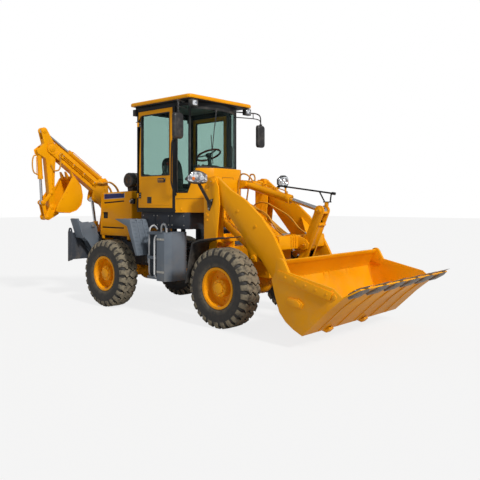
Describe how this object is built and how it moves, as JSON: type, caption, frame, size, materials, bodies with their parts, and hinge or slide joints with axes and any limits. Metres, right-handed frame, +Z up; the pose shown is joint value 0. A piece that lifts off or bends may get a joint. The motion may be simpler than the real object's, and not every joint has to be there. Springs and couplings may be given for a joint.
{
  "type": "backhoe loader",
  "caption": "Centre-steered backhoe loader in yellow, parked with its loader bucket rolled back and its hoe folded to the right",
  "frame": {"origin": "On the ground at the steering hinge's axis, midway between the axles; the mount ground_datum names it.", "axes": "+X forward along the machine toward the loader bucket, +Y to the operator's left, +Z up."},
  "size_m": [6.47, 2.486, 3.276],
  "materials": {
    "yellow_paint": "semi-gloss paint",
    "dark_grey_paint": "satin paint",
    "light_grey_paint": "satin paint",
    "black_paint": "satin paint",
    "cast_iron": "cast",
    "black_plastic": "matte",
    "black_vinyl": "matte",
    "tinted_glass": "clear tinted",
    "lamp_housing": "matte",
    "worn_steel": "worn",
    "chrome": "polished chrome",
    "tyre_rubber": "matte"
  },
  "bodies": {
    "root": {"rear_chassis": "dark_grey_paint", "rear_axle": "yellow_paint", "engine": "cast_iron", "engine_hood": "yellow_paint", "air_cleaner": "black_plastic", "cab_frame": "black_paint", "cab_roof": "yellow_paint", "cab_cowl": "yellow_paint", "cab_glass": "tinted_glass", "seat": "black_vinyl", "controls": "black_plastic", "side_steps": "light_grey_paint", "rear_fenders": "light_grey_paint", "mirrors": "black_plastic", "work_lamps": "lamp_housing"},
    "front_frame": {"front_chassis": "yellow_paint", "front_axle": "yellow_paint", "front_fenders": "black_plastic", "headlamps": "lamp_housing"},
    "lift_arms": {"lift_arms": "yellow_paint"},
    "rocker": {"rocker": "yellow_paint"},
    "bucket_link": {"bucket_link": "yellow_paint"},
    "loader_bucket": {"loader_bucket": "yellow_paint", "bucket_teeth": "worn_steel"},
    "lift_barrels": {"lift_barrels": "yellow_paint"},
    "lift_rods": {"lift_rods": "chrome"},
    "tilt_barrel": {"tilt_barrel": "yellow_paint"},
    "tilt_rod": {"tilt_rod": "chrome"},
    "wheel_front_right": {"tyre_front_right": "tyre_rubber", "rim_front_right": "yellow_paint"},
    "wheel_front_left": {"tyre_front_left": "tyre_rubber", "rim_front_left": "yellow_paint"},
    "wheel_rear_right": {"tyre_rear_right": "tyre_rubber", "rim_rear_right": "yellow_paint"},
    "wheel_rear_left": {"tyre_rear_left": "tyre_rubber", "rim_rear_left": "yellow_paint"},
    "door_right": {"door_right": "yellow_paint", "door_glass_right": "tinted_glass"},
    "leg_right": {"leg_right": "light_grey_paint"},
    "leg_barrel_right": {"leg_barrel_right": "light_grey_paint"},
    "leg_rod_right": {"leg_rod_right": "chrome"},
    "door_left": {"door_left": "yellow_paint", "door_glass_left": "tinted_glass"},
    "leg_left": {"leg_left": "light_grey_paint"},
    "leg_barrel_left": {"leg_barrel_left": "light_grey_paint"},
    "leg_rod_left": {"leg_rod_left": "chrome"},
    "hoe_carriage": {"hoe_carriage": "yellow_paint"},
    "swing_post": {"swing_post": "yellow_paint"},
    "boom": {"boom": "yellow_paint"},
    "stick": {"stick": "yellow_paint"},
    "hoe_bucket": {"hoe_bucket": "yellow_paint"},
    "hoe_guide_links": {"hoe_guide_links": "yellow_paint"},
    "hoe_bucket_link": {"hoe_bucket_link": "yellow_paint"},
    "boom_barrel": {"boom_barrel": "yellow_paint"},
    "boom_rod": {"boom_rod": "chrome"},
    "stick_barrel": {"stick_barrel": "yellow_paint"},
    "stick_rod": {"stick_rod": "chrome"},
    "hoe_bucket_barrel": {"hoe_bucket_barrel": "yellow_paint"},
    "hoe_bucket_rod": {"hoe_bucket_rod": "chrome"}
  },
  "joints": [
    {"name": "steering", "type": "hinge", "parent": "root", "child": "front_frame", "pos_m": [0, 0, 0.8], "axis": [0, 0, 1], "range_deg": [-32, 32]},
    {"name": "wheel_front_right_turn", "type": "hinge", "parent": "front_frame", "child": "wheel_front_right", "pos_m": [1.26, -0.79, 0.5375], "axis": [0, 1, 0], "continuous": true},
    {"name": "wheel_front_left_turn", "type": "hinge", "parent": "front_frame", "child": "wheel_front_left", "pos_m": [1.26, 0.79, 0.5375], "axis": [0, 1, 0], "continuous": true},
    {"name": "wheel_rear_right_turn", "type": "hinge", "parent": "root", "child": "wheel_rear_right", "pos_m": [-1.26, -0.79, 0.5375], "axis": [0, 1, 0], "continuous": true},
    {"name": "wheel_rear_left_turn", "type": "hinge", "parent": "root", "child": "wheel_rear_left", "pos_m": [-1.26, 0.79, 0.5375], "axis": [0, 1, 0], "continuous": true},
    {"name": "lift", "type": "hinge", "parent": "front_frame", "child": "lift_arms", "pos_m": [0.86, 0, 1.975], "axis": [0, -1, 0], "range_deg": [-6, 88]},
    {"name": "bucket_tilt", "type": "hinge", "parent": "lift_arms", "child": "loader_bucket", "pos_m": [2.19, 0, 0.44], "axis": [0, 1, 0], "range_deg": [0, 85]},
    {"name": "rocker_turn", "type": "hinge", "parent": "lift_arms", "child": "rocker", "pos_m": [2.081, 0, 1.112], "axis": [0, -1, 0], "range_deg": [0, 41.61]},
    {"name": "bucket_link_turn", "type": "hinge", "parent": "rocker", "child": "bucket_link", "pos_m": [1.92, 0, 0.665], "axis": [0, 1, 0], "range_deg": [0, 102.99]},
    {"name": "lift_barrels_turn", "type": "hinge", "parent": "front_frame", "child": "lift_barrels", "pos_m": [0.83, 0, 1.46], "axis": [0, -1, 0], "range_deg": [-5.98, 82.92]},
    {"name": "lift_rods_slide", "type": "slide", "parent": "lift_barrels", "child": "lift_rods", "axis": [0.82, 0, -0.5724], "range_m": [-0.05134, 0.71038]},
    {"name": "tilt_barrel_turn", "type": "hinge", "parent": "front_frame", "child": "tilt_barrel", "pos_m": [0.98, 0, 1.95], "axis": [0, -1, 0], "range_deg": [-6.74, 93.44]},
    {"name": "tilt_rod_slide", "type": "slide", "parent": "tilt_barrel", "child": "tilt_rod", "axis": [0.9613, 0, -0.2756], "range_m": [-0.35306, 0]},
    {"name": "door_right_hinge", "type": "hinge", "parent": "root", "child": "door_right", "pos_m": [-0.758, -0.636, 2.3], "axis": [0, 0, -1], "range_deg": [0, 90]},
    {"name": "door_left_hinge", "type": "hinge", "parent": "root", "child": "door_left", "pos_m": [-0.758, 0.636, 2.3], "axis": [0, 0, 1], "range_deg": [0, 90]},
    {"name": "leg_right_turn", "type": "hinge", "parent": "root", "child": "leg_right", "pos_m": [-2.12, -0.32, 0.55], "axis": [1, 0, 0], "range_deg": [0, 85]},
    {"name": "leg_barrel_right_turn", "type": "hinge", "parent": "root", "child": "leg_barrel_right", "pos_m": [-2.12, -0.12, 0.62], "axis": [1, 0, 0], "range_deg": [0, 70.92]},
    {"name": "leg_rod_right_slide", "type": "slide", "parent": "leg_barrel_right", "child": "leg_rod_right", "axis": [0, -0.5961, 0.8029], "range_m": [0, 0.17601]},
    {"name": "leg_left_turn", "type": "hinge", "parent": "root", "child": "leg_left", "pos_m": [-2.12, 0.32, 0.55], "axis": [-1, 0, 0], "range_deg": [0, 85]},
    {"name": "leg_barrel_left_turn", "type": "hinge", "parent": "root", "child": "leg_barrel_left", "pos_m": [-2.12, 0.12, 0.62], "axis": [-1, 0, 0], "range_deg": [0, 70.92]},
    {"name": "leg_rod_left_slide", "type": "slide", "parent": "leg_barrel_left", "child": "leg_rod_left", "axis": [0, 0.5961, 0.8029], "range_m": [0, 0.17601]},
    {"name": "side_shift", "type": "slide", "parent": "root", "child": "hoe_carriage", "axis": [0, -1, 0], "range_m": [-0.28, 0.88]},
    {"name": "swing", "type": "hinge", "parent": "hoe_carriage", "child": "swing_post", "pos_m": [-2.66, 0.3, 0.9], "axis": [0, 0, -1], "range_deg": [0, 180]},
    {"name": "boom_lower", "type": "hinge", "parent": "swing_post", "child": "boom", "pos_m": [-2.66, 0.2, 1.52], "axis": [1, 0, 0], "range_deg": [0, 50]},
    {"name": "stick_out", "type": "hinge", "parent": "boom", "child": "stick", "pos_m": [-2.66, -1.06, 2.62], "axis": [-1, 0, 0], "range_deg": [0, 105]},
    {"name": "hoe_bucket_open", "type": "hinge", "parent": "stick", "child": "hoe_bucket", "pos_m": [-2.66, -1.06, 1.6], "axis": [-1, 0, 0], "range_deg": [0, 120]},
    {"name": "guide_turn", "type": "hinge", "parent": "stick", "child": "hoe_guide_links", "pos_m": [-2.66, -1.07, 1.85], "axis": [-1, 0, 0], "range_deg": [0, 100.79]},
    {"name": "hoe_link_turn", "type": "hinge", "parent": "hoe_guide_links", "child": "hoe_bucket_link", "pos_m": [-2.66, -1.22, 1.68], "axis": [1, 0, 0], "range_deg": [0, 98.6]},
    {"name": "hoe_bucket_barrel_turn", "type": "hinge", "parent": "stick", "child": "hoe_bucket_barrel", "pos_m": [-2.66, -1.27, 2.57], "axis": [1, 0, 0], "range_deg": [0, 3.1]},
    {"name": "hoe_bucket_rod_slide", "type": "slide", "parent": "hoe_bucket_barrel", "child": "hoe_bucket_rod", "axis": [0, 0.0561, -0.9984], "range_m": [-0.3478, 0]},
    {"name": "boom_barrel_turn", "type": "hinge", "parent": "swing_post", "child": "boom_barrel", "pos_m": [-2.66, -0.05, 0.8], "axis": [1, 0, 0], "range_deg": [0, 9.15]},
    {"name": "boom_rod_slide", "type": "slide", "parent": "boom_barrel", "child": "boom_rod", "axis": [0, -0.156, 0.9878], "range_m": [-0.37276, 0]},
    {"name": "stick_barrel_turn", "type": "hinge", "parent": "boom", "child": "stick_barrel", "pos_m": [-2.66, 0.03, 2.08], "axis": [-1, 0, 0], "range_deg": [0, 3.72]},
    {"name": "stick_rod_slide", "type": "slide", "parent": "stick_barrel", "child": "stick_rod", "axis": [0, -0.8258, 0.564], "range_m": [-0.5217, 0]}
  ],
  "couplings": [
    {"joint": "rocker_turn", "follows": "bucket_tilt", "ratio": 0.48758},
    {"joint": "bucket_link_turn", "follows": "bucket_tilt", "ratio": 1.2068},
    {"joint": "lift_barrels_turn", "follows": "lift", "ratio": 0.93827},
    {"joint": "lift_rods_slide", "follows": "lift", "m_per_rad": 0.46049},
    {"joint": "tilt_barrel_turn", "follows": "lift", "ratio": 1.0573},
    {"joint": "tilt_rod_slide", "follows": "bucket_tilt", "m_per_rad": -0.23697},
    {"joint": "guide_turn", "follows": "hoe_bucket_open", "ratio": 0.83659},
    {"joint": "hoe_link_turn", "follows": "hoe_bucket_open", "ratio": 0.81843},
    {"joint": "hoe_bucket_barrel_turn", "follows": "hoe_bucket_open", "ratio": 0.02573},
    {"joint": "hoe_bucket_rod_slide", "follows": "hoe_bucket_open", "m_per_rad": -0.16535},
    {"joint": "boom_barrel_turn", "follows": "boom_lower", "ratio": 0.18219},
    {"joint": "boom_rod_slide", "follows": "boom_lower", "m_per_rad": -0.42534},
    {"joint": "stick_barrel_turn", "follows": "stick_out", "ratio": 0.03526},
    {"joint": "stick_rod_slide", "follows": "stick_out", "m_per_rad": -0.28349},
    {"joint": "leg_barrel_right_turn", "follows": "leg_right_turn", "ratio": 0.83097},
    {"joint": "leg_rod_right_slide", "follows": "leg_right_turn", "m_per_rad": 0.1181},
    {"joint": "leg_barrel_left_turn", "follows": "leg_left_turn", "ratio": 0.83097},
    {"joint": "leg_rod_left_slide", "follows": "leg_left_turn", "m_per_rad": 0.1181}
  ]
}
